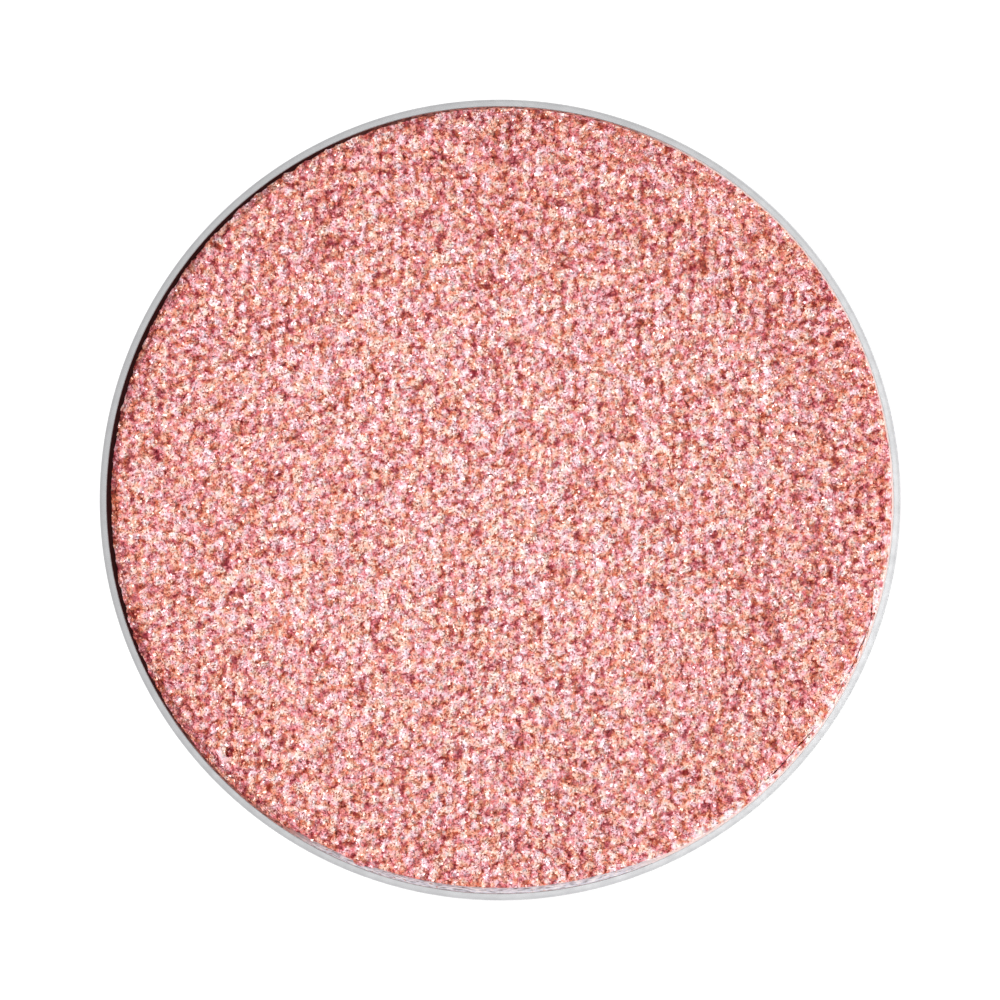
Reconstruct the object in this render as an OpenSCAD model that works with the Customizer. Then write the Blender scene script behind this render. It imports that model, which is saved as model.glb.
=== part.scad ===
// Round eyeshadow refill pan: a shallow cup drawn from thin tinplate, filled
// with a cake of pressed shimmer powder.
// Millimetres. Z is up, and the origin is the middle of the underside.

/* [Pan] */
// Diameter over the straight wall
wall_d = 26.1; // [20:0.1:40]
// Height from the underside to the top of the lip
pan_h = 3.5; // [2.8:0.1:7]
// Gauge of the tinplate
sheet_t = 0.2; // [0.12:0.01:0.35]
// Outside radius where the wall turns into the floor
corner_r = 0.8; // [0.5:0.05:1.2]

/* [Lip] */
// How far the lip stands out past the straight wall
lip_out = 0.2; // [0.1:0.01:0.3]
// Lean of the lip from upright, in degrees
lip_lean = 20; // [14:1:30]
// Outside radius of the bend from the wall into the lip
lip_bend_r = 0.5; // [0.3:0.05:0.8]
// Rounding of the trimmed edge
trim_r = 0.05; // [0.03:0.005:0.055]

/* [Keying rings] */
// Number of rings pressed up into the floor
ring_count = 3; // [2:1:5]
// Radius of the innermost ring's crest
ring_first_r = 3.2; // [2.5:0.1:4.5]
// Flat floor left between the outermost ring and the corner
ring_margin = 1.3; // [0.8:0.1:2]
// Height of a ring over the floor
ring_h = 0.3; // [0.15:0.05:0.4]
// Half the width of a ring, crest to foot
ring_half_w = 0.75; // [0.6:0.05:0.85]

/* [Powder] */
// Drop from the top of the lip to the middle of the cake's face
fill_drop = 0.5; // [0.4:0.05:1.2]
// Width of the crumbled edge round the face
edge_w = 0.2; // [0.1:0.02:0.5]
// Depth of the crumbled edge at the wall
edge_drop = 0.16; // [0.06:0.02:0.4]
// Rise of the face from its edge to its middle
crown = 0.04; // [0.01:0.01:0.1]

/* [Hidden] */
round_fn = 120;      // steps round each turned solid
crown_steps = 4;     // steps along the shallow arc of the cake's face
arc_step = 12;       // largest turn between two points of a sheet's arc, in degrees
trim_step = 24;      // the same for the small rounding of the trimmed edge

// The pan is described by the middle of its sheet, and each face lies half a gauge off it.
half_t = sheet_t / 2;
wall_mid_r = wall_d / 2 - half_t;
bore_r = wall_mid_r - half_t;
corner_mid_r = corner_r - half_t;

// The lip bends outwards, runs on straight at its lean, and is trimmed level, so the
// trim is a little wider than the gauge. How far it stands out sets how tall it is.
bend_mid_r = lip_bend_r - half_t;
bend_out = bend_mid_r * (1 - cos(lip_lean));
bend_rise = bend_mid_r * sin(lip_lean);
trim_half = half_t / cos(lip_lean);
lip_mid_r = wall_d / 2 + lip_out - trim_half;
lean_rise = (lip_mid_r - wall_mid_r - bend_out) / tan(lip_lean);
trim_z = pan_h - trim_r;
wall_top = trim_z - lean_rise - bend_rise;

// A ring rises and falls on pairs of equal arcs that turn by ring_turn.
ring_turn = 2 * atan(ring_h / ring_half_w);
ring_arc_r = ring_half_w / (2 * sin(ring_turn));
ring_last_r = wall_mid_r - corner_mid_r - ring_margin - ring_half_w;
ring_pitch = (ring_last_r - ring_first_r) / (ring_count - 1);

face_z = pan_h - fill_drop;
edge_z = face_z - crown;
face_r = bore_r - edge_w;
edge_foot_z = min(edge_z - edge_drop, wall_top);   // the cake leaves the wall below the lip

// --- drawing with arcs ---

function dir(a) = [cos(a), sin(a)];

// Points of an arc that turns by no more than step between two of them.
function arc(c, r, a0, a1, step) =
    let (n = ceil(abs(a1 - a0) / step))
    [for (i = [0 : n]) c + r * dir(a0 + (a1 - a0) * i / n)];

// One arc of the sheet: each entry is a point and the way to the sheet's inner face,
// which is towards the arc's centre where inward is -1 and away from it where it is 1.
function sheet_arc(c, r, a0, a1, inward) =
    [for (p = arc(c, r, a0, a1, arc_step)) [p, inward * (p - c) / r]];

// A ring is a foot arc, a crest arc and a foot arc, each tangent to the next.
function ring_path(r) = concat(
    sheet_arc([r - ring_half_w, half_t + ring_arc_r], ring_arc_r, -90, ring_turn - 90, -1),
    sheet_arc([r, half_t + ring_h - ring_arc_r], ring_arc_r, 90 + ring_turn, 90 - ring_turn, 1),
    sheet_arc([r + ring_half_w, half_t + ring_arc_r], ring_arc_r, -90 - ring_turn, -90, -1));

// The middle of the sheet, from the centre of the floor to the foot of the trimmed edge.
floor_path = concat(
    [[[0, half_t], [0, 1]]],
    [for (k = [0 : ring_count - 1]) each ring_path(ring_first_r + k * ring_pitch)],
    sheet_arc([wall_mid_r - corner_mid_r, corner_r], corner_mid_r, -90, 0, -1));

lip_path = concat(
    sheet_arc([wall_mid_r + bend_mid_r, wall_top], bend_mid_r, 180, 180 - lip_lean, 1),
    [[[lip_mid_r, trim_z], [-1 / cos(lip_lean), 0]]]);

function face(path, off) = [for (p = path) p[0] + off * p[1]];
function backwards(pts) = [for (i = [len(pts) - 1 : -1 : 0]) pts[i]];

inner_floor = face(floor_path, half_t);

// --- pieces ---

// Tinplate cup: one even gauge from the middle of the floor to the trimmed lip.
module pan() {
    sheet_path = concat(floor_path, lip_path);
    trim = concat(
        arc([lip_mid_r - trim_half + trim_r, trim_z], trim_r, 180, 90, trim_step),
        arc([lip_mid_r + trim_half - trim_r, trim_z], trim_r, 90, 0, trim_step));
    color("#C9C9CB")
        rotate_extrude($fn = round_fn)
            polygon(concat(face(sheet_path, half_t), trim, backwards(face(sheet_path, -half_t))));
}

// Pressed cake: its underside is the pan's own inner face, so it locks on the rings.
module pressed_powder() {
    shallow_arc = [for (i = [crown_steps : -1 : 0])
        let (x = i / crown_steps) [face_r * x, edge_z + crown * (1 - x * x)]];
    color("#D7968C")
        rotate_extrude($fn = round_fn)
            polygon(concat(inner_floor, [[bore_r, edge_foot_z]], shallow_arc));
}

pan();
pressed_powder();
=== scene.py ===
import math
import random

import bmesh
import bpy
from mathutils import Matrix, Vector, noise


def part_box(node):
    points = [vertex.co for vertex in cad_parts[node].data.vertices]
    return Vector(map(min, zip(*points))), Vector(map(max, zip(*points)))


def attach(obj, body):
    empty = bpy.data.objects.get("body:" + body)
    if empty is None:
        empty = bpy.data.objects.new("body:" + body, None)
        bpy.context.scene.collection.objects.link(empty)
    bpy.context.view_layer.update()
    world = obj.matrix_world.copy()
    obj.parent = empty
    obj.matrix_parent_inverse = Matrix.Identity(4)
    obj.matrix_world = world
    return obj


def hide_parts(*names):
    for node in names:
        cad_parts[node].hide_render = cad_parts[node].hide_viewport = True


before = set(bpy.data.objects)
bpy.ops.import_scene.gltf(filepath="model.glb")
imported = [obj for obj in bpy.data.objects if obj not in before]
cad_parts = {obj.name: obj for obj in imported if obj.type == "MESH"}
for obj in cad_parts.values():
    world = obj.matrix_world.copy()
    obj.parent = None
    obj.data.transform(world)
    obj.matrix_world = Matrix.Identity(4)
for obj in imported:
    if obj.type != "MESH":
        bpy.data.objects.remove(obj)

# A round eyeshadow refill pan: a tinplate cup with pressed shimmer powder in it.
# Metres. Z is up, and the origin is the middle of the underside.

bl_info = {
    "name": "Eyeshadow Refill Pan",
    "version": (1, 0, 0),
    "blender": (4, 5, 0),
    "location": "View3D > Sidebar > Refill Pan",
    "description": "Tinplate refill pan filled with pressed shimmer powder",
    "category": "Object",
}

MM = 0.001
PAN_LOW, PAN_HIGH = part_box("pan")
CAKE_LOW, CAKE_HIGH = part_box("pressed_powder")
LIP_R = min(*PAN_HIGH.xy, *-PAN_LOW.xy)
PAN_H = PAN_HIGH.z
BORE_R = min(*CAKE_HIGH.xy, *-CAKE_LOW.xy)
FACE_Z = CAKE_HIGH.z

# --- where the cake's edge and face differ round the pan ---
# Directions are degrees counter-clockwise from +X.

# Direction, and how far the powder climbs the lip there.
CLIMB = (
    (0, 1.3), (40, 1.3), (92, 1.1), (108, 0.88), (125, 0.78), (145, 0.7), (165, 0.6), (185, 0.55),
    (205, 0.95), (225, 1.08), (238, 0.8), (245, 0.15), (249, 1.1), (253, 0.1), (264, 0.0),
    (280, 0.1), (290, 0.5), (298, 1.1), (306, 1.3), (360, 1.3),
)
# Direction, and how much paler the powder is painted beside the wall and a little further in:
# painted light and shade where the lip's shadow falls and where the slopes beside the wall face
# towards or away from the key light.
PAINTED_EDGE_SHADES = (
    (0, -0.07, 0.02), (20, 0.06, 0.02), (45, 0.10, 0.0), (62, -0.03, 0.04), (100, 0.11, 0.03),
    (140, 0.16, -0.08), (165, -0.02, -0.05), (182, -0.09, -0.05), (200, 0.0, -0.12),
    (225, -0.10, -0.09), (245, -0.10, 0.0), (262, 0.0, 0.0), (280, 0.12, 0.05),
    (300, 0.24, 0.07), (320, 0.07, -0.09), (345, 0.12, 0.02), (360, -0.07, 0.02),
)
FLASH_FROM, FLASH_TO = 290, 5       # where the powder that climbs is packed smooth and pale
BROAD_FROM, BROAD_TO = 18, 112      # where the climb starts further in
CRACK_FROM, CRACK_TO = 306, 346     # where a crack opens at the foot of the climb
CRACK_BEND = (310, 322)             # where the crack runs further in
CRACK_RINGS = (0.0, 0.012, 0.020, 0.031, 0.042, 0.10, 0.22)     # millimetres in from the edge
CRACK_AT = 3                        # the ring that sinks
CRACK_DEPTH = 0.13 * MM
FACE_LOW = 0.035 * MM               # how far the plain face lies under the cake's highest grains
CROWN = 0.04 * MM                   # how much lower the plain face is at its edge
EDGE_SINK = 0.16 * MM               # how far the edge sinks where it doesn't climb
CRUMBLE_IN = 0.40 * MM              # how far in the edge sinks
FULL_CLIMB = 0.34 * MM              # how high the powder stands at the wall where CLIMB is 1
CLIMB_IN, BROAD_IN = 0.17 * MM, 0.45 * MM   # how far in the climb starts, and how much further
PIT = Vector((-8.96, -8.345)) * MM  # where a bubble left a small pit with a raised ring
PIT_DEPTH = 0.13 * MM
PIT_RING_RISE = 0.06 * MM
SKIRT_Z, WALL_MID_Z = 2.7 * MM, 1.6 * MM    # rings round the cake's hidden side
HIDDEN_DEPTH = 0.25 * MM            # how far under the face the hidden side starts

# --- pearl flakes ---

# How pale each batch of flakes is, and how light its colour is painted: the second value is painted
# light and shade, as if the batches lay at different tilts to the light.
FLAKE_SHADES = ((1.0, 1.06), (0.34, 0.62), (1.06, 1.24), (0.68, 0.68), (1.0, 1.06))
FLAKE_DEPTH = 0.4 * MM              # how far under the face's highest grains flakes still lie
CHIP_SPECK = 0.004                  # how much of its map a flake covers
LEAN_SEED, SIZE_SEED, TINT_SEED = 11, 23, 37

# --- finishes ---

# Paleness, and the powder's colour there: where it is golden, and where it is lilac.
GOLDEN = (
    (0.00, (0.26, 0.018, 0.006)),
    (0.25, (0.60, 0.128, 0.056)),
    (0.50, (0.78, 0.312, 0.200)),
    (0.75, (0.90, 0.535, 0.415)),
    (1.00, (0.95, 0.815, 0.735)),
)
LILAC = (
    (0.00, (0.25, 0.012, 0.026)),
    (0.25, (0.60, 0.110, 0.132)),
    (0.50, (0.79, 0.312, 0.342)),
    (0.75, (0.91, 0.565, 0.620)),
    (1.00, (0.95, 0.805, 0.865)),
)
# Tin that the powder has scraped bare, painted pale in place of its reflection, with its dark
# streaks, and bright streaks that are painted glints.
BARE_TIN_AND_SHEEN, DARK_STREAK, PAINTED_GLINT = (0.70, 0.74, 0.82), (0.26, 0.24, 0.25), (0.97, 0.99, 1.0)
# Directions of the middle of each finish inside the lip: the dust painted dark as shade on the side
# in the lip's shadow, the pale dust partly painted light on the side facing the key light, and the
# scraped patch.
PAINTED_SHADE_AT, BLOOM_AND_LIGHT_AT, SCRAPED_AT = 162, 350, 266
# Radii and heights, in millimetres, between which each of the pan's finishes fades in.
INSIDE_R, UNDER_TRIM_Z, OVER_WALL_Z = (12.97, 12.93), (3.475, 3.455), (2.3, 2.4)
INNER_TRIM_R, INNER_TRIM_Z = (13.035, 13.012), (3.45, 3.46)
OUTER_WALL_R, OUTER_WALL_Z = (13.03, 13.045), (3.2, 2.9)
TRIMMED_R, TRIMMED_Z = (13.13, 13.19), (3.45, 3.47)
UNDERSIDE_Z = (0.55, 0.35)
LIP_FOOT_Z, LIP_LEAN = 2.9, 0.364   # where the lip's inner slope starts, and how far it leans

# --- light ---

# Name, azimuth and elevation in degrees, distance and width in metres, power in watts.
SOFTBOXES = (
    ("key_light", 159, 69, 0.45, 0.13, 2.48),
    ("top_light", 75, 86, 0.80, 0.35, 0.242),
)
TENT_DIM, TENT_PALE = (0.06, 0.06, 0.062), (0.42, 0.42, 0.43)


# --- sizes and colours a user would change ---


def length(name, description, mm):
    """A length in the panel, from its default in millimetres."""
    return bpy.props.FloatProperty(
        name=name,
        description=description,
        default=mm * MM,
        min=0.0,
        subtype="DISTANCE",
        unit="LENGTH",
        precision=5,
    )


def angle(name, description, degrees):
    """An angle in the panel, from its default in degrees."""
    return bpy.props.FloatProperty(
        name=name,
        description=description,
        default=math.radians(degrees),
        subtype="ANGLE",
        unit="ROTATION",
    )


def share(name, description, value):
    """A plain number in the panel."""
    return bpy.props.FloatProperty(name=name, description=description, default=value, min=0.0)


def count(name, description, value, least):
    """A whole number in the panel."""
    return bpy.props.IntProperty(name=name, description=description, default=value, min=least)


def colour(name, description, rgb):
    """A colour in the panel."""
    return bpy.props.FloatVectorProperty(
        name=name, description=description, default=rgb, min=0.0, max=1.0, subtype="COLOR"
    )


class PanSettings(bpy.types.PropertyGroup):
    """The tinplate pan"""

    gauge: length("Gauge", "Thickness of the tinplate", 0.2)
    corner: length("Corner radius", "Outside radius between wall and floor", 0.8)
    lip_out: length("Lip", "How far the lip stands out past the wall", 0.2)
    lip_bend: length("Lip bend", "Inside radius of the bend under the lip", 0.5)
    lip_lean: angle("Lip lean", "Lean of the lip from upright", 20)
    trim: length("Trim", "Width of the broken edges of the trimmed lip", 0.012)
    trim_slope: length("Trim slope", "How much lower the trimmed lip is at its inner edge", 0.0115)
    burr: length("Burr", "How far trimming turned the lip's inner edge in", 0.014)
    waviness: length("Waviness", "How far the lip wanders in from a true circle", 0.0015)
    rings: count("Keying rings", "Rings pressed up into the floor", 3, 2)
    ring_first: length("First ring", "Radius of the innermost ring", 3.2)
    ring_margin: length("Ring margin", "Flat floor outside the last ring", 1.3)
    ring_height: length("Ring height", "Height of a ring", 0.3)
    ring_half_width: length("Ring half width", "Half the width of a ring", 0.75)
    steps: count("Steps", "Faces round the pan", 288, 24)
    tin: colour("Tin", "Colour of the tin coating", (0.63, 0.63, 0.64))
    dust: colour("Dust", "Powder dust inside the lip", (0.60, 0.24, 0.20))
    # This dark is also painted as shade over the inside of the lip on the key light's side, which
    # lies in the lip's own shadow.
    stain_and_shade: colour("Stain", "Dust where it is thickest and oldest", (0.035, 0.006, 0.006))
    # Partly painted light: this pale dust is laid on the inside of the lip that faces the key light.
    bloom_and_painted_light: colour("Bloom", "Dust beside the powder that climbs the wall", (0.80, 0.64, 0.60))


class PowderSettings(bpy.types.PropertyGroup):
    """The pressed powder: its shape, and how pale it is"""

    cuts: count("Cuts", "Cuts along each side of the cake's face", 156, 8)
    weave_pitch: length("Weave pitch", "Distance between the columns of the cloth imprint", 0.417)
    weave_depth: length("Weave depth", "Depth of the cloth imprint", 0.05)
    clump: length("Clump", "Size of a pressed clump", 0.36)
    clump_depth: length("Clump depth", "Depth of the gaps between clumps", 0.07)
    grain_depth: length("Grain depth", "Height of single grains", 0.026)
    tone: share("Tone", "Mean paleness, from brick to pearl", 0.735)
    weave_tone: share("Weave tone", "How much paler the powder is between the cloth's pits", 0.285)
    clump_tone: share("Clump tone", "How much clumps differ in paleness", 0.37)
    # Painted shade: the gaps between clumps are painted deeper, where shade falls.
    painted_gap_shade: share("Gap tone", "How much deeper in tone the gaps between clumps are", 0.84)
    grain_tone: share("Grain tone", "How much single grains differ in paleness", 0.52)
    # Painted shade: the powder is painted darker towards its edge, as the light falls off away from
    # the middle.
    painted_edge_shading: share("Edge tone", "How much deeper in tone the powder is at its edge", 0.165)


class FlakeSettings(bpy.types.PropertyGroup):
    """The pearl flakes on the powder's face"""

    batches: count("Batches", "Pieces that the flakes are shared between", 5, 1)
    per_batch: count("Flakes per batch", "Flakes in each piece", 30300, 10)
    width: length("Width", "Mean width of a flake", 0.092)
    tilt: angle("Tilt", "Most a flake tilts off the face", 46)


class StageSettings(bpy.types.PropertyGroup):
    """The floor and the camera"""

    view_width: length("View width", "Width of the camera's view at the lip", 33.075)
    camera_height: length("Camera height", "Height of the camera over the lip", 500)
    floor_size: length("Floor size", "Width of the floor", 2000)


# --- node trees ---


class Wire:
    """One output of a node. Arithmetic on it adds Math nodes."""

    def __init__(self, sheet, socket):
        self.sheet = sheet
        self.socket = socket

    def other(self, name):
        """Another output of the same node."""
        return Wire(self.sheet, self.socket.node.outputs[name])

    def _math(self, operation, *values):
        return self.sheet.add("ShaderNodeMath", {"operation": operation}, dict(enumerate(values)))

    def __add__(self, value):
        return self._math("ADD", self, value)

    def __radd__(self, value):
        return self._math("ADD", value, self)

    def __sub__(self, value):
        return self._math("SUBTRACT", self, value)

    def __rsub__(self, value):
        return self._math("SUBTRACT", value, self)

    def __mul__(self, value):
        return self._math("MULTIPLY", self, value)

    def __rmul__(self, value):
        return self._math("MULTIPLY", value, self)

    def __truediv__(self, value):
        return self._math("DIVIDE", self, value)

    def root(self):
        """The square root."""
        return self._math("SQRT", self)

    def over(self, limit):
        """1 where the value is over a limit, and 0 elsewhere."""
        return self._math("GREATER_THAN", self, limit)

    def at_least(self, other):
        """The value, or the other one where that is greater."""
        return self._math("MAXIMUM", self, other)

    def held(self, low, high):
        """The value, kept from low to high."""
        return self._math("MINIMUM", self.at_least(low), high)

    def ramp(self, low, high):
        """0 at low, 1 at high, and smooth between. It falls where low is the greater."""
        settings = {"interpolation_type": "SMOOTHSTEP"}
        return self.sheet.add(
            "ShaderNodeMapRange", settings, {"Value": self, "From Min": low, "From Max": high}
        )


class NodeSheet:
    """A node tree that is filled one node at a time."""

    def __init__(self, tree):
        self.tree = tree

    def add(self, kind, settings=None, sockets=None, output=0):
        """A node's output: its settings are set first, then its sockets' values or wires."""
        node = self.tree.nodes.new(kind)
        for name, value in (settings or {}).items():
            if name == "stops":
                set_stops(node.color_ramp, value)
            else:
                setattr(node, name, value)
        for name, value in (sockets or {}).items():
            if isinstance(value, Wire):
                self.tree.links.new(value.socket, node.inputs[name])
            else:
                node.inputs[name].default_value = value
        if not node.outputs:
            return node
        return Wire(self, node.outputs[output])

    def split(self, vector):
        """A vector's X, Y and Z."""
        x = self.add("ShaderNodeSeparateXYZ", sockets={0: vector}, output="X")
        return x, x.other("Y"), x.other("Z")

    def joined(self, x, y, z=0.0):
        """A vector from its X, Y and Z."""
        return self.add("ShaderNodeCombineXYZ", sockets={0: x, 1: y, 2: z})

    def vector(self, operation, a, b):
        """Vector maths; SCALE takes a number or a wire as b."""
        sockets = {0: a, "Scale" if operation == "SCALE" else 1: b}
        return self.add("ShaderNodeVectorMath", {"operation": operation}, sockets)

    def noise(self, place, scale, detail):
        """Soft noise from 0 to 1, at a scale in features a millimetre."""
        return self.add(
            "ShaderNodeTexNoise", sockets={"Vector": place, "Scale": scale, "Detail": detail}
        )

    def attribute(self, name, kind):
        """A named attribute of a geometry."""
        return self.add("GeometryNodeInputNamedAttribute", {"data_type": kind}, {"Name": name})

    def random(self, low, high, seed):
        """A random vector for each element of a geometry."""
        settings = {"data_type": "FLOAT_VECTOR"}
        return self.add("FunctionNodeRandomValue", settings, {"Min": low, "Max": high, "Seed": seed})

    def mix(self, factor, a, b):
        """A colour between a and b, each a wire or red, green and blue."""
        a, b = (c if isinstance(c, Wire) else (*c, 1.0) for c in (a, b))
        return self.add("ShaderNodeMix", {"data_type": "RGBA"}, {0: factor, 6: a, 7: b}, 2)


def set_stops(ramp, stops):
    """Sets a colour ramp from (position, colour) pairs."""
    while len(ramp.elements) < len(stops):
        ramp.elements.new(0.5)
    for element, (position, rgb) in zip(ramp.elements, stops, strict=True):
        element.position = position
        element.color = (*rgb, 1.0)


def new_material(name):
    """A material with an empty sheet, and the sheet."""
    material = bpy.data.materials.new(name)
    material.use_nodes = True
    material.node_tree.nodes.clear()
    return material, NodeSheet(material.node_tree)


def millimetres(sheet):
    """The piece's own coordinates in millimetres."""
    place = sheet.add("ShaderNodeTexCoord", output="Object")
    return sheet.vector("SCALE", place, 1 / MM)


def surface(sheet, sockets):
    """Ends a material's sheet in one shader with these sockets."""
    shader = sheet.add("ShaderNodeBsdfPrincipled", sockets=sockets)
    sheet.add("ShaderNodeOutputMaterial", sockets={"Surface": shader})


# --- meshes ---


def clamped(value):
    """The value, kept from 0 to 1."""
    return min(max(value, 0.0), 1.0)


def add_piece(name, shape, material, node):
    """Makes a piece from a bmesh, riding on the part's one body, in a CAD node's place."""
    mesh = bpy.data.meshes.new(name)
    shape.to_mesh(mesh)
    shape.free()
    mesh.materials.append(material)
    piece = bpy.data.objects.new(name, mesh)
    bpy.context.collection.objects.link(piece)
    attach(piece, "root")
    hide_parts(node)
    return piece


# --- the pan ---


def chain(shape, corners):
    """Joins (radius, height) corners with edges in the XZ plane. Returns the vertices."""
    verts = [shape.verts.new((r, 0.0, z)) for r, z in corners]
    for a, b in zip(verts, verts[1:], strict=False):
        shape.edges.new((a, b))
    return verts


def round_corners(shape, verts, cut, segments):
    """Rounds corners of a chain, cutting each back along its edges."""
    bmesh.ops.bevel(
        shape,
        geom=verts,
        offset=cut,
        offset_type="OFFSET",
        affect="VERTICES",
        segments=segments,
        profile=0.5,
        material=-1,
    )


def ring_radii(pan):
    """Radii of the rings in the floor, evenly spaced out to the margin."""
    last = LIP_R - pan.lip_out - pan.corner - pan.ring_margin - pan.ring_half_width
    pitch = (last - pan.ring_first) / (pan.rings - 1)
    return [pan.ring_first + k * pitch for k in range(pan.rings)]


def wall_top(pan):
    """Height at which the straight wall ends and the lip starts to bend."""
    bend_mid = pan.lip_bend - pan.gauge / 2
    trim_half = pan.gauge / 2 / math.cos(pan.lip_lean)
    bend_out = bend_mid * (1 - math.cos(pan.lip_lean))
    lean_out = pan.lip_out - trim_half + pan.gauge / 2 - bend_out
    lean_rise = lean_out / math.tan(pan.lip_lean)
    return PAN_H - pan.trim - lean_rise - bend_mid * math.sin(pan.lip_lean)


def wall_in(z, pan):
    """Inner radius of the wall and lip at a height."""
    lip_in = LIP_R - pan.gauge / math.cos(pan.lip_lean)
    return max(BORE_R, lip_in - math.tan(pan.lip_lean) * (PAN_H - z))


def pan_section(pan):
    """The pan's outer face in section, from the middle of the floor to a little past the lip."""
    turn = 2 * math.atan(pan.ring_height / pan.ring_half_width)
    ring_arc = pan.ring_half_width / (2 * math.sin(turn))
    foot_cut = (ring_arc + pan.gauge / 2) * math.tan(turn / 2)
    crest_cut = (ring_arc - pan.gauge / 2) * math.tan(turn / 2)
    bend_cut = (pan.lip_bend - pan.gauge) * math.tan(pan.lip_lean / 2)

    corners = [(0.0, 0.0)]
    feet, crests = [], []
    for r in ring_radii(pan):
        feet += [len(corners), len(corners) + 3]
        crests += [len(corners) + 1, len(corners) + 2]
        corners += [
            (r - pan.ring_half_width + foot_cut, 0.0),
            (r - crest_cut, pan.ring_height),
            (r + crest_cut, pan.ring_height),
            (r + pan.ring_half_width - foot_cut, 0.0),
        ]
    floor_end = len(corners)
    wall_r = LIP_R - pan.lip_out
    bend_z = wall_top(pan) + bend_cut
    over = PAN_H + 2 * pan.gauge
    lip_r = wall_r + (over - bend_z) * math.tan(pan.lip_lean)
    corners += [(wall_r, 0.0), (wall_r, bend_z), (lip_r, over)]

    shape = bmesh.new()
    verts = chain(shape, corners)
    round_corners(shape, [verts[i] for i in feet], foot_cut, segments=5)
    # A ring's two crest cuts would meet, so each stops a little short.
    round_corners(shape, [verts[i] for i in crests], crest_cut * 0.98, segments=5)
    round_corners(shape, [verts[floor_end]], pan.corner, segments=9)
    round_corners(shape, [verts[floor_end + 1]], bend_cut, segments=4)
    return shape


def trim_level(shape, pan):
    """Cuts the lip off level at the pan's height and breaks the cut's two edges."""
    cut = bmesh.ops.bisect_plane(
        shape,
        geom=shape.verts[:] + shape.edges[:] + shape.faces[:],
        plane_co=(0, 0, PAN_H),
        plane_no=(0, 0, 1),
        clear_outer=True,
    )
    rims = [e for e in cut["geom_cut"] if isinstance(e, bmesh.types.BMEdge)]
    inner = {v for e in rims for v in e.verts if v.co.xy.length < LIP_R - 0.5 * pan.gauge}
    bmesh.ops.translate(shape, verts=list(inner), vec=(0, 0, -pan.trim_slope))
    for vert in inner:
        vert.co.xy -= vert.co.xy.normalized() * pan.burr
    bmesh.ops.bridge_loops(shape, edges=rims)
    bmesh.ops.recalc_face_normals(shape, faces=shape.faces)
    bmesh.ops.bevel(
        shape,
        geom=rims,
        offset=pan.trim,
        offset_type="OFFSET",
        affect="EDGES",
        segments=1,
        profile=0.5,
        material=-1,
    )


def wander(shape, pan):
    """Draws the lip in by a hair, further in some directions than in others."""
    top = wall_top(pan)
    for vert in shape.verts:
        rise = clamped((vert.co.z - top) / (0.5 * MM))
        way = vert.co.xy.normalized()
        wave = 1 + noise.noise(Vector((2.6 * way.x, 2.6 * way.y, 1.0)))
        vert.co.xy -= way * (rise * wave * pan.waviness)


def build_pan(pan):
    """Spins the pan's outer face, gives it the sheet's gauge, and trims the lip level."""
    shape = pan_section(pan)
    bmesh.ops.spin(
        shape,
        geom=shape.verts[:] + shape.edges[:],
        cent=(0, 0, 0),
        axis=(0, 0, 1),
        angle=2 * math.pi,
        steps=pan.steps,
        use_merge=True,
    )
    bmesh.ops.remove_doubles(shape, verts=shape.verts, dist=0.001 * MM)
    bmesh.ops.recalc_face_normals(shape, faces=shape.faces)
    bmesh.ops.solidify(shape, geom=shape.faces[:], thickness=pan.gauge)
    trim_level(shape, pan)
    for face in shape.faces:
        face.smooth = face.calc_center_median().z < PAN_H - 1.2 * pan.trim
    wander(shape, pan)
    return shape


# --- the cake ---


def between(angle, low, high, soft=7.0):
    """1 inside an arc from low to high degrees, 0 outside it, and smooth over soft degrees."""
    span = (high - low) % 360
    into = (angle - low) % 360
    reach = min(into, span - into) if into <= span else max(-(into - span), into - 360)
    return clamped(reach / soft + 0.5)


def along(table, angle, column=1):
    """A table's value at an angle, in a straight line between its rows."""
    for low, high in zip(table, table[1:], strict=False):
        if angle <= high[0]:
            passed = (angle - low[0]) / (high[0] - low[0])
            return low[column] + (high[column] - low[column]) * passed
    return table[-1][column]


def noise_at(place, size):
    """Soft noise from -1 to 1 at a place, in features of a size in millimetres."""
    return noise.noise(place / (size * MM))


def noise_round(way, size):
    """The same noise along the wall, in a direction from the middle."""
    return noise.noise(way * (BORE_R / (size * MM)))


def weave(x, y, pitch):
    """The cloth's imprint, from -1 in a pit to 1: two waves that cross, and one between them."""
    column = 2 * math.pi * (x - 0.04 * y) / pitch
    row = 2 * math.pi * (0.46 * x - 0.957 * y) / pitch
    return (math.cos(column) + 0.6 * math.cos(row) + 0.15 * math.cos(column - row)) / 1.75


def imprint(place, powder):
    """The imprint as it was pressed: it drifts, and is fainter in some places."""
    drift = noise.noise_vector(place / (1.6 * MM)) * (0.10 * MM)
    press = weave(place.x + drift.x, place.y + drift.y, powder.weave_pitch)
    return press * (0.75 + 0.5 * noise_at(place, 2.3))


def clumping(place, powder):
    """How a place lies in its clump: how near the crown, the clump's lift, and the gap's depth."""
    warp = noise.noise_vector(place / (0.3 * MM)) * (0.06 * MM)
    reach, seeds = noise.voronoi((place + warp) / powder.clump + Vector((0, 0, 3.7)))
    crown = 1 - min(reach[0] * 1.3, 1.0) ** 2
    lift = noise.noise(seeds[0] * 7.3)
    gap = 1 - min((reach[1] - reach[0]) / 0.26, 1.0)
    openness = 0.9 + 0.3 * noise_at(place, 0.9)
    return crown, lift, clamped(gap * gap * openness - 0.2 * lift)


def pit_and_ring(place):
    """How far a place is in the pit, and how far on the ring round it."""
    away = place.xy - PIT.xy
    reach = away.length / MM
    pit = clamped((0.17 - reach) / 0.06)
    ring = clamped((0.16 - abs(reach - 0.28)) / 0.07)
    to_wall = away.normalized().dot(Vector((-0.9, -0.43))) if reach else 0.0
    return pit, ring * (0.6 + 0.4 * to_wall)


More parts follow.
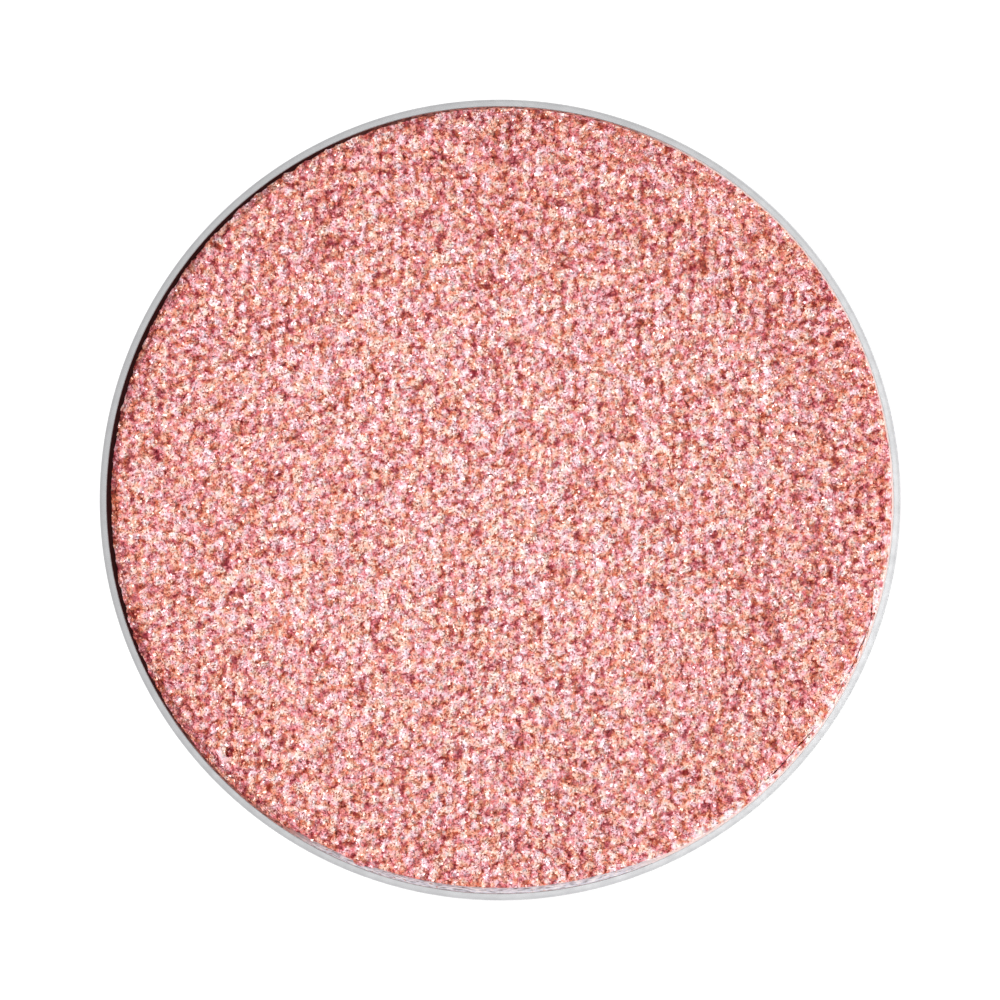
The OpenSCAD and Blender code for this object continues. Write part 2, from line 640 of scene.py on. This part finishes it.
def face_height(place, powder):
    """How far the face rises over its plain level at a flat place, and how pale it is painted there,
    with painted shade in the gaps between clumps and towards the edge.
    """
    press = imprint(place, powder)
    crown, lift, gap = clumping(place, powder)
    lump = noise_at(place, 0.21) + 0.6 * noise_at(place, 0.11)
    pit, ring = pit_and_ring(place)
    rise = (
        0.5 * powder.weave_depth * press
        + powder.clump_depth * (0.6 * crown + 0.25 * lift - 0.8 * gap - 0.35)
        + powder.grain_depth * lump
        + PIT_RING_RISE * ring
        - PIT_DEPTH * pit
    )
    out = math.hypot(place.x, place.y) / BORE_R
    paleness = (
        powder.tone
        + powder.weave_tone * press
        + powder.clump_tone * (noise_at(place, 0.24) + 0.5 * lift + 0.02 * noise_at(place, 1.4))
        # Painted shade in the gaps between clumps.
        - powder.painted_gap_shade * (gap - 0.25)
        # Painted shade: darker towards the edge, as the light falls off from the middle.
        - powder.painted_edge_shading * (0.7 * out**2 + 0.4 * clamped(18 * out - 17))
        - 0.02 * (0.2 * place.x + place.y) / BORE_R
    )
    return rise, paleness + (0.97 - paleness) * ring - 0.5 * pit


def painted_shading_at_edge(depth, angle):
    """How much paler the powder is painted some millimetres in from the wall, darker where the value
    is below 0: painted light and shade from the lip's shadow and the slopes beside the wall.
    """
    beside = clamped(1.9 - depth / 0.15)                # full in the first 0.13 mm
    further = max(1 - abs(depth - 0.30) / 0.22, 0.0)    # full 0.3 mm in
    return along(PAINTED_EDGE_SHADES, angle) * beside + along(PAINTED_EDGE_SHADES, angle, 2) * further


def crack_line(r, inside, angle, way):
    """A ring's radius once the crack has drawn it in, and how far the crack is open on it."""
    held = between(angle, CRACK_FROM, CRACK_TO)
    if inside < len(CRACK_RINGS):
        bend = 0.012 * MM * noise_round(way, 0.8) - 0.05 * MM * between(angle, *CRACK_BEND, 5)
        drawn = BORE_R - CRACK_RINGS[inside] * MM + (bend if inside else 0.0)
        r += held * (drawn - r)
    if inside != CRACK_AT:
        return r, 0.0
    return r, held * clamped(0.75 + 1.2 * noise_round(way, 1.3))


def face_edge(r, inside, angle, pan):
    """Radius and height of the plain face: crumbled at the edge, or squeezed up the lip."""
    way = Vector((math.cos(math.radians(angle)), math.sin(math.radians(angle)), 0.0))
    r, crack = crack_line(r, inside, angle, way)
    most = along(CLIMB, angle)
    # The edge is ragged where it crumbles, and its height is torn less where it climbs far.
    ragged = max(0.3, 1 + 0.8 * noise_round(way, 0.35) + 0.6 * noise_round(way, 0.13))
    torn = 0.6 if most < 1.05 else 0.3
    climb = min(most * (1 - torn + torn * ragged), max(most, 1.1))
    broad = between(angle, BROAD_FROM, BROAD_TO, 30)
    crumbled = max(0.0, 1 - (BORE_R - r) / (CRUMBLE_IN * ragged))
    risen = max(0.0, 1 - (BORE_R - r) / (CLIMB_IN + BROAD_IN * broad))
    level = FACE_Z - FACE_LOW - CROWN * (r / BORE_R) ** 2
    level -= EDGE_SINK * max(1 - climb, 0.0) * crumbled**2
    level += FULL_CLIMB * climb * risen ** (1.2 + 0.6 * broad)
    out = risen ** (1 + broad) * (wall_in(level, pan) - BORE_R)
    return r + out, level - CRACK_DEPTH * crack, crack


def build_cake(powder, pan):
    """A face of fine triangles on a solid whose underside sits on the pan's floor and rings."""
    draw = random.Random(4)
    noise.seed_set(4)       # noise_vector would take its offsets from the clock
    rings = powder.cuts + 1
    step = BORE_R / rings
    shape = bmesh.new()
    bmesh.ops.create_circle(shape, cap_ends=True, cap_tris=True, segments=6, radius=1.0)
    bmesh.ops.subdivide_edges(shape, edges=shape.edges[:], cuts=powder.cuts, use_grid_fill=True)
    paleness = shape.verts.layers.float.new("paleness")
    smooth = shape.verts.layers.float.new("smooth")
    # The rings of triangles are hexagons until each vertex goes to its ring's own radius.
    sides = [Vector((math.cos(a), math.sin(a))) for a in (math.radians(60 * k) for k in range(6))]
    side_reach = math.cos(math.radians(30))
    for vert in shape.verts:
        flat = vert.co.xy
        ring = round(rings * max(flat.dot(side) for side in sides) / side_reach)
        if ring == 0:
            vert.co = (0.0, 0.0, FACE_Z)
            continue
        inside = rings - ring
        angle = math.atan2(flat.y, flat.x)
        r, z, crack = face_edge(step * ring, inside, math.degrees(angle) % 360, pan)
        painted_edge_shading = painted_shading_at_edge((BORE_R - r) / MM, math.degrees(angle) % 360)
        if inside:
            jitter = 0.36 * step * (1.0 if inside > 6 else 0.25)
            r += draw.uniform(-jitter, jitter)
            angle += draw.uniform(-jitter, jitter) / r
        vert.co = (r * math.cos(angle), r * math.sin(angle), z)
        place = Vector((vert.co.x, vert.co.y, 0.0))
        rise, pale = face_height(place, powder)
        packed = between(math.degrees(angle), FLASH_FROM, FLASH_TO, 45)
        packed *= clamped((z - FACE_Z) / (0.1 * MM))
        # Painted shade darkens the open crack, and painted light and shade is added beside the wall.
        vert[paleness] = pale - 0.8 * crack + 0.25 * packed + painted_edge_shading
        vert[smooth] = max(packed, crack, 0.7 * pit_and_ring(place)[1])
        free = min(inside / 2, 1.0)
        vert.co.z += rise * free
        vert.co.z += draw.uniform(-1, 1) * 0.35 * powder.grain_depth * free
    close_underside(shape, pan)
    bmesh.ops.recalc_face_normals(shape, faces=shape.faces)
    return shape


def grown(shape, edge):
    """Adds a row of faces to an open edge. Returns the new edge."""
    made = bmesh.ops.extrude_edge_only(shape, edges=edge)["geom"]
    return [e for e in made if isinstance(e, bmesh.types.BMEdge) and e.is_boundary]


def close_underside(shape, pan):
    """Carries the face's edge down the wall, round the corner and over the floor's rings."""
    edge = [e for e in shape.edges if e.is_boundary]
    for unevenness in (0.5, 0.0):
        edge = grown(shape, edge)
        for vert in {v for e in edge for v in e.verts}:
            vert.co.z = SKIRT_Z + (vert.co.z - SKIRT_Z) * unevenness
            vert.co.xy = vert.co.xy.normalized() * min(vert.co.xy.length, wall_in(vert.co.z, pan))
    for r, z in underside_section(pan):
        edge = grown(shape, edge)
        for vert in {v for e in edge for v in e.verts}:
            vert.co.xy = vert.co.xy.normalized() * r
            vert.co.z = z
    bmesh.ops.edgeloop_fill(shape, edges=edge)


def underside_section(pan):
    """Radii and heights down the wall, round the corner and over the rings, to the middle."""
    corner_in = pan.corner - pan.gauge
    places = [(BORE_R, WALL_MID_Z), (BORE_R, pan.corner)]
    for turn in (math.radians(30 * k) for k in range(1, 4)):
        places.append(
            (BORE_R - corner_in * (1 - math.cos(turn)), pan.corner - corner_in * math.sin(turn))
        )
    for r in reversed(ring_radii(pan)):
        for across in (1, 0.5, 0, -0.5, -1):
            lift = pan.ring_height * (0.5 + 0.5 * math.cos(math.pi * across))
            places.append((r + across * pan.ring_half_width, pan.gauge + lift))
    return places


def flat_map(mesh):
    """Lays the cake out flat: the face fills the map, and the underside a corner of it."""
    layer = mesh.uv_layers.new(name="OFBake")
    for face in mesh.polygons:
        hidden = min(mesh.vertices[v].co.z for v in face.vertices) < FACE_Z - HIDDEN_DEPTH
        middle, size = (0.05, 40 * LIP_R) if hidden else (0.5, 2.02 * LIP_R)
        for corner, v in zip(face.loop_indices, face.vertices, strict=True):
            place = mesh.vertices[v].co
            layer.uv[corner].vector = (middle + place.x / size, middle + place.y / size)


# --- pearl flakes ---


def flake_prototype(number, width):
    """One closed chip: an uneven flat top over a point that sits in the powder."""
    draw = random.Random(20 + number)
    shape = bmesh.new()
    ring = bmesh.ops.create_circle(shape, cap_ends=True, segments=4, radius=width / 2)["verts"]
    for vert in ring:
        vert.co.xy *= draw.uniform(0.75, 1.3)
    made = bmesh.ops.extrude_face_region(shape, geom=shape.faces[:])["geom"]
    low = [v for v in made if isinstance(v, bmesh.types.BMVert)]
    bmesh.ops.pointmerge(shape, verts=low, merge_co=(0, 0, -0.32 * width))
    bmesh.ops.translate(shape, verts=shape.verts[:], vec=(0, 0, 0.12 * width))
    bmesh.ops.recalc_face_normals(shape, faces=shape.faces)
    mesh = bpy.data.meshes.new(f"chip_{number}")
    shape.to_mesh(mesh)
    shape.free()
    chip_map(mesh, width)
    return bpy.data.objects.new(f"chip_{number}", mesh)


def chip_map(mesh, width):
    """Maps a chip to a speck at the map's corner, and its sides to one a whole map to the left."""
    layer = mesh.uv_layers.new(name="OFBake")
    for face in mesh.polygons:
        shift = 0.0 if face.normal.z > 0.5 else -1.0
        for k in face.loop_indices:
            place = mesh.vertices[mesh.loops[k].vertex_index].co
            layer.uv[k].vector = (place.x / width * CHIP_SPECK + shift, place.y / width * CHIP_SPECK)


def scatter_tree(chip, number, density, powder, tilt):
    """Geometry nodes that lay chips over the cake's face, tilted at random, each with its tint."""
    tree = bpy.data.node_groups.new(f"scatter_{number}", "GeometryNodeTree")
    tree.interface.new_socket("Geometry", in_out="INPUT", socket_type="NodeSocketGeometry")
    tree.interface.new_socket("Geometry", in_out="OUTPUT", socket_type="NodeSocketGeometry")
    sheet = NodeSheet(tree)
    position = sheet.add("GeometryNodeInputPosition")
    paleness = sheet.attribute("paleness", "FLOAT")
    points = sheet.add(
        "GeometryNodeDistributePointsOnFaces",
        sockets={
            "Mesh": sheet.add("NodeGroupInput"),
            "Selection": open_face(sheet, position, paleness),
            "Density": density,
            "Seed": number,
        },
    )
    tinted = sheet.add(
        "GeometryNodeStoreNamedAttribute",
        {"data_type": "FLOAT_VECTOR", "domain": "INSTANCE"},
        {
            "Geometry": laid_chips(sheet, points, chip, number, tilt),
            "Name": "tint",
            "Value": chip_tints(sheet, position, paleness, number, powder),
        },
    )
    real = sheet.add("GeometryNodeRealizeInstances", sockets={"Geometry": tinted})
    mapped = sheet.add(
        "GeometryNodeStoreNamedAttribute",
        {"data_type": "FLOAT2", "domain": "CORNER"},
        {"Geometry": real, "Name": "OFBake", "Value": tint_places(sheet)},
    )
    sheet.add("NodeGroupOutput", sockets={0: mapped})
    return tree


def open_face(sheet, position, paleness):
    """1 on the face, apart from its deep gaps and where it is packed smooth, and 0 elsewhere."""
    height = sheet.split(position)[2]
    facing = sheet.split(sheet.add("GeometryNodeInputNormal"))[2]
    packed = sheet.attribute("smooth", "FLOAT").over(0.5)
    on_face = height.over(FACE_Z - FLAKE_DEPTH) * facing.over(0.1)
    return on_face * paleness.over(0.12) * (1 - packed)


def laid_chips(sheet, points, chip, number, tilt):
    """A chip on each point, turned, tilted and sized at random."""
    chip_in = sheet.add(
        "GeometryNodeObjectInfo", {"transform_space": "ORIGINAL"}, {"Object": chip}, "Geometry"
    )
    turned = sheet.add(
        "FunctionNodeRotateRotation",
        {"rotation_space": "LOCAL"},
        {
            "Rotation": points.other("Rotation"),
            "Rotate By": sheet.random((-tilt, -tilt, 0), (tilt, tilt, 6.283), number + LEAN_SEED),
        },
    )
    size = sheet.random((0.5, 0.5, 0.7), (1.4, 1.4, 1.0), number + SIZE_SEED)
    return sheet.add(
        "GeometryNodeInstanceOnPoints",
        sockets={"Points": points, "Instance": chip_in, "Rotation": turned, "Scale": size},
    )


def chip_tints(sheet, position, paleness, number, powder):
    """Each chip's tint: X is its tone, from the powder under it, and Y its hue."""
    chance = sheet.random((0, 0, 0), (1, 1, 1), number + TINT_SEED)
    tone_chance, hue_chance, _ = sheet.split(chance)
    tone = paleness + powder.grain_tone * (tone_chance - 0.5) + 0.05
    hue = coolness(sheet, sheet.vector("SCALE", position, 1 / MM)) + 0.1 * (hue_chance - 0.5)
    return sheet.joined(tone.held(0.01, 0.99), hue.held(0.01, 0.99))


def tint_places(sheet):
    """Where each corner of a chip is on the map: at the chip's tint, and darker on its sides as
    painted shade.
    """
    across, up, _ = sheet.split(sheet.attribute("OFBake", "FLOAT_VECTOR"))
    tone, hue, _ = sheet.split(sheet.attribute("tint", "FLOAT_VECTOR"))
    on_top = across.over(-0.5)
    shaded = tone * (0.86 + 0.14 * on_top)
    return sheet.joined((across + (1 - on_top) + shaded).held(0.005, 0.995), up + hue)


def flake_batch(context, cake, number):
    """A piece made of the flakes that a scatter lays over a copy of the cake."""
    flakes = context.scene.refill_flakes
    density = flakes.per_batch / (math.pi * BORE_R**2)
    pale, light = FLAKE_SHADES[number % len(FLAKE_SHADES)]
    material = pearl_flake(f"pearl_flake_{number + 1}", pale, light)
    chip = flake_prototype(number, flakes.width)
    tree = scatter_tree(chip, number, density, context.scene.refill_powder, flakes.tilt)
    piece = bpy.data.objects.new(f"pearl_flakes_{number + 1}", cake.data.copy())
    piece.data.materials.clear()
    context.scene.collection.objects.link(piece)
    piece.modifiers.new("scatter", "NODES").node_group = tree
    depsgraph = context.evaluated_depsgraph_get()
    made = bpy.data.meshes.new_from_object(piece.evaluated_get(depsgraph))
    piece.modifiers.clear()
    piece.data = made
    made.name = piece.name
    made.materials.clear()
    made.materials.append(material)
    return piece


# --- materials ---


def coolness(sheet, place):
    """How lilac, rather than golden, the powder is around a place in millimetres."""
    return 0.5 + 4.0 * (sheet.noise(place, 3.5, 1.0) - 0.5)


def pigment(sheet, tone, hue):
    """The powder's colour: from brick to pearl, and from golden to lilac."""
    golden = sheet.add("ShaderNodeValToRGB", {"stops": GOLDEN}, {0: tone}, "Color")
    lilac = sheet.add("ShaderNodeValToRGB", {"stops": LILAC}, {0: tone}, "Color")
    return sheet.mix(hue, golden, lilac)


class PanPlace:
    """Where a point of the pan is, in millimetres, as wires that its finishes share."""

    def __init__(self, sheet):
        self.sheet = sheet
        self.mm = millimetres(sheet)
        self.x, self.y, self.z = sheet.split(self.mm)
        self.radius = (self.x * self.x + self.y * self.y).root()
        self.around = sheet.add("ShaderNodeMath", {"operation": "ARCTAN2"}, {0: self.y, 1: self.x})

    def towards(self, degrees):
        """The cosine of the angle round the pan from a direction."""
        way = math.radians(degrees)
        return (math.cos(way) * self.x + math.sin(way) * self.y) / self.radius

    def band(self, radii, heights):
        """1 past each pair's second radius or height, 0 before its first, and smooth between."""
        return self.radius.ramp(*radii) * self.z.ramp(*heights)

    def noise(self, scale, detail):
        """Noise in every direction alike."""
        return self.sheet.noise(self.mm, scale, detail)

    def streaks(self, around, out, up, detail):
        """Noise drawn out into streaks, from its features a radian, and a millimetre out and up."""
        drawn = self.sheet.joined(around * self.around, out * self.radius, up * self.z)
        return self.sheet.noise(drawn, 1.0, detail)


def tinplate(pan):
    """Satin tin over rolled steel, with drawing marks, and powder dust inside the lip that carries
    painted shade on one side and painted light on the other.
    """
    material, sheet = new_material("satin_tin")
    place = PanPlace(sheet)
    # Dust covers the inner face under its trim, apart from where it was scraped off.
    slope = LIP_LEAN * (place.z - LIP_FOOT_Z).held(0, 1)
    inside = (place.radius - slope).ramp(*INSIDE_R)
    inside = inside * place.z.ramp(*UNDER_TRIM_Z) * place.z.ramp(*OVER_WALL_Z)
    scraped = place.towards(SCRAPED_AT).ramp(0.86, 0.93)
    # Partly painted light: the dust is painted paler on the side facing the key light, and on the
    # trim's inner edge there.
    bloomed_and_lit = place.towards(BLOOM_AND_LIGHT_AT).ramp(0.10, 0.40)
    bare = inside * scraped * place.noise(5.0, 3.0).ramp(0.30, 0.38)
    edged = place.band(INNER_TRIM_R, INNER_TRIM_Z) * (0.8 * bloomed_and_lit).at_least(0.3) * (1 - scraped)
    cover = (inside * (1 - bare)).at_least(edged)
    fine = place.noise(3.0, 6.0)
    rolled = sheet.noise(sheet.joined(0.6 * place.x, 24.0 * place.y), 1.0, 4.0)
    rolled = rolled.ramp(0.32, 0.70) * place.z.ramp(*UNDERSIDE_Z)
    rough = 0.14 + 0.05 * fine + 0.03 * place.noise(24.0, 3.0) + 0.1 * rolled
    surface(
        sheet,
        {
            "Base Color": sheet.mix(
                cover, tin_colour(place, pan, fine, rolled, bare), dust_colour(place, pan, bloomed_and_lit)
            ),
            "Metallic": 1 - cover - 0.8 * bare,
            "Roughness": rough + 0.6 * cover + 0.3 * bare,
            "Specular IOR Level": 0.1,
        },
    )
    return material


def tin_colour(place, pan, fine, rolled, bare):
    """Tin with drawing marks up the wall, rolling grain underneath, and scraped bare patches painted
    pale, with painted glints, in place of their reflection.
    """
    sheet = place.sheet
    drawn = 0.7 * place.streaks(260.0, 8.0, 0.8, 5.0).ramp(0.30, 0.75)
    streak = place.streaks(50.0, 15.0, 15.0, 2.0)
    tone = sheet.mix(fine, darker(pan.tin, 0.93), pan.tin)
    tone = sheet.mix(drawn * place.band(OUTER_WALL_R, OUTER_WALL_Z), tone, darker(pan.tin, 0.80))
    tone = sheet.mix(0.75 * rolled, tone, darker(pan.tin, 0.72))
    tone = sheet.mix(place.band(TRIMMED_R, TRIMMED_Z), tone, darker(pan.tin, 0.88))
    tone = sheet.mix(bare, tone, BARE_TIN_AND_SHEEN)
    tone = sheet.mix(bare * streak.ramp(0.45, 0.35), tone, DARK_STREAK)
    # Painted glints: bright streaks on the bare tin.
    return sheet.mix(bare * streak.ramp(0.54, 0.60), tone, PAINTED_GLINT)


def darker(rgb, share_left):
    """A colour with this share of its light."""
    return tuple(share_left * c for c in rgb)


def dust_colour(place, pan, bloomed_and_lit):
    """Powder dust: stained where it is old, painted dark as shade on the side in the lip's shadow,
    and pale beside the climb, partly as painted light on the side facing the key light.
    """
    caked = place.noise(6.0, 4.0).ramp(0.44, 0.58)
    # Painted shade: the inside of the lip on the key light's side, in the lip's own shadow, is
    # painted dark.
    painted_shade_side = place.towards(PAINTED_SHADE_AT).ramp(0.25, 0.75)
    dust = place.sheet.mix(0.7 * caked, pan.dust, pan.stain_and_shade)
    dust = place.sheet.mix(painted_shade_side, dust, pan.stain_and_shade)
    return place.sheet.mix(bloomed_and_lit, dust, pan.bloom_and_painted_light)


def pressed_shimmer(powder):
    """Pressed pearl powder: grains in drifting tones, and deep brick painted into the gaps between
    clumps as painted shade.
    """
    material, sheet = new_material("pressed_shimmer")
    mm = millimetres(sheet)
    paleness = sheet.add(
        "ShaderNodeAttribute",
        {"attribute_type": "GEOMETRY", "attribute_name": "paleness"},
        output="Fac",
    )
    grain = sheet.add(
        "ShaderNodeTexVoronoi", {"feature": "F1"}, {"Vector": mm, "Scale": 14.0}, "Color"
    )
    tone = paleness + powder.grain_tone * (sheet.split(grain)[0] - 0.5) - 0.08
    sway = sheet.vector("SCALE", sheet.vector("SUBTRACT", grain, (0.5, 0.5, 0.5)), 1.3)
    normal = sheet.add("ShaderNodeNewGeometry", output="Normal")
    facet = sheet.vector("ADD", normal, sway)
    facet = sheet.add("ShaderNodeVectorMath", {"operation": "NORMALIZE"}, {0: facet})
    surface(
        sheet,
        {
            "Base Color": pigment(sheet, tone.held(0.0, 1.0), coolness(sheet, mm).held(0.0, 1.0)),
            "Metallic": 0.0,
            "Roughness": 0.5,
            "Normal": facet,
            "Coat Weight": 0.1,
            "Coat Roughness": 0.45,
            "Coat IOR": 1.8,
        },
    )
    return material


def pearl_flake(name, pale, light):
    """Mica flakes. Each flake's place on its map is its tint: across for tone, up for hue."""
    material, sheet = new_material(name)
    tone, hue, _ = sheet.split(sheet.add("ShaderNodeUVMap", {"uv_map": "OFBake"}))
    surface(
        sheet,
        {
            # The light factor scales the colour as painted light and shade, so each batch is a lit
            # or shaded copy of the same flake.
            "Base Color": sheet.vector("SCALE", pigment(sheet, pale * tone, hue), light),
            "Metallic": 0.2,
            "Roughness": 0.45,
            "Coat Weight": 0.5 * light,
            "Coat Roughness": 0.5,
            "Coat IOR": 2.0,
        },
    )
    return material


# --- the stage ---


def make_floor(size):
    """A floor that looks white under any light."""
    shape = bmesh.new()
    bmesh.ops.create_grid(shape, x_segments=1, y_segments=1, size=size / 2)
    mesh = bpy.data.meshes.new("studio_floor")
    shape.to_mesh(mesh)
    shape.free()
    material, sheet = new_material("white_floor")
    surface(
        sheet,
        {
            "Base Color": (0.05, 0.05, 0.05, 1),
            "Roughness": 0.8,
            "Emission Color": (1, 1, 1, 1),
            "Emission Strength": 1.0,
        },
    )
    mesh.materials.append(material)
    floor = bpy.data.objects.new("studio_floor", mesh)
    bpy.context.scene.collection.objects.link(floor)


def studio_air():
    """A tent that is pale round the foot and dim overhead."""
    world = bpy.data.worlds.new("studio_air")
    world.use_nodes = True
    world.node_tree.nodes.clear()
    sheet = NodeSheet(world.node_tree)
    height = sheet.split(sheet.add("ShaderNodeTexCoord", output="Generated"))[2]
    shade = sheet.mix(height.ramp(0.65, 0.35), TENT_DIM, TENT_PALE)
    sheet.add(
        "ShaderNodeOutputWorld",
        sockets={"Surface": sheet.add("ShaderNodeBackground", sockets={"Color": shade})},
    )
    return world


def add_softbox(name, azimuth, elevation, distance, size, power):
    """A square area light that looks at the pan, azimuth counter-clockwise from +X."""
    light = bpy.data.lights.new(name, "AREA")
    light.shape = "SQUARE"
    light.size = size
    light.energy = power
    box = bpy.data.objects.new(name, light)
    bpy.context.scene.collection.objects.link(box)
    a, e = math.radians(azimuth), math.radians(elevation)
    way = Vector((math.cos(a) * math.cos(e), math.sin(a) * math.cos(e), math.sin(e)))
    box.location = way * distance + Vector((0, 0, PAN_H))
    box.rotation_euler = (-way).to_track_quat("-Z", "Y").to_euler()


def add_camera(height, view_width):
    """A camera that looks straight down from a height over the lip, with a long lens."""
    camera = bpy.data.objects.new("camera", bpy.data.cameras.new("camera"))
    bpy.context.scene.collection.objects.link(camera)
    camera.data.sensor_width = 36.0
    camera.data.lens = 36.0 * height / view_width
    camera.data.clip_start = 0.01
    camera.data.clip_end = 10.0
    camera.location = (0.0, 0.0, PAN_H + height)
    bpy.context.scene.camera = camera


# --- operators ---


class MakeStage(bpy.types.Operator):
    """Set up the floor, the lights and the camera"""

    bl_idname = "refill.make_stage"
    bl_label = "Studio Stage"

    def execute(self, context):
        scene = context.scene
        stage = scene.refill_stage
        make_floor(stage.floor_size)
        scene.world = studio_air()
        for softbox in SOFTBOXES:
            add_softbox(*softbox)
        add_camera(stage.camera_height, stage.view_width)
        scene.view_settings.view_transform = "Standard"
        return {"FINISHED"}


class MakePan(bpy.types.Operator):
    """Make the tinplate pan"""

    bl_idname = "refill.make_pan"
    bl_label = "Tinplate Pan"

    def execute(self, context):
        pan = context.scene.refill_pan
        add_piece("tin_pan", build_pan(pan), tinplate(pan), "pan")
        return {"FINISHED"}


class MakeCake(bpy.types.Operator):
    """Make the pressed powder cake"""

    bl_idname = "refill.make_cake"
    bl_label = "Powder Cake"

    def execute(self, context):
        scene = context.scene
        shape = build_cake(scene.refill_powder, scene.refill_pan)
        material = pressed_shimmer(scene.refill_powder)
        cake = add_piece("powder_cake", shape, material, "pressed_powder")
        flat_map(cake.data)
        return {"FINISHED"}


class MakeFlakes(bpy.types.Operator):
    """Lay the pearl flakes over the cake"""

    bl_idname = "refill.make_flakes"
    bl_label = "Pearl Flakes"

    def execute(self, context):
        cake = bpy.data.objects.get("powder_cake")
        if cake is None:
            raise RuntimeError("make the cake before its flakes")
        for number in range(context.scene.refill_flakes.batches):
            piece = flake_batch(context, cake, number)
            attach(piece, "root")
        return {"FINISHED"}


class PanPanel(bpy.types.Panel):
    """Sizes, colours and steps of the refill pan"""

    bl_idname = "REFILL_PT_panel"
    bl_label = "Refill Pan"
    bl_space_type = "VIEW_3D"
    bl_region_type = "UI"
    bl_category = "Refill Pan"

    def draw(self, context):
        for step, settings in STEPS:
            column = self.layout.column(align=True)
            column.operator(step.bl_idname)
            group = getattr(context.scene, settings)
            for name in group.bl_rna.properties.keys():
                if name not in ("rna_type", "name"):
                    column.prop(group, name)


GROUPS = {
    "refill_pan": PanSettings,
    "refill_powder": PowderSettings,
    "refill_flakes": FlakeSettings,
    "refill_stage": StageSettings,
}
STEPS = (
    (MakeStage, "refill_stage"),
    (MakePan, "refill_pan"),
    (MakeCake, "refill_powder"),
    (MakeFlakes, "refill_flakes"),
)
CLASSES = (*GROUPS.values(), *(step for step, _ in STEPS), PanPanel)


def register():
    """Registers the classes, and gives every scene its settings."""
    for cls in CLASSES:
        bpy.utils.register_class(cls)
    for name, group in GROUPS.items():
        setattr(bpy.types.Scene, name, bpy.props.PointerProperty(type=group))


def unregister():
    """Takes the settings and the classes away again."""
    for name in GROUPS:
        delattr(bpy.types.Scene, name)
    for cls in reversed(CLASSES):
        bpy.utils.unregister_class(cls)


def main():
    """Makes the pan on its stage."""
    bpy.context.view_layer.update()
    register()
    bpy.ops.refill.make_stage()
    bpy.ops.refill.make_pan()
    bpy.ops.refill.make_cake()
    bpy.ops.refill.make_flakes()


if __name__ == "__main__":
    main()
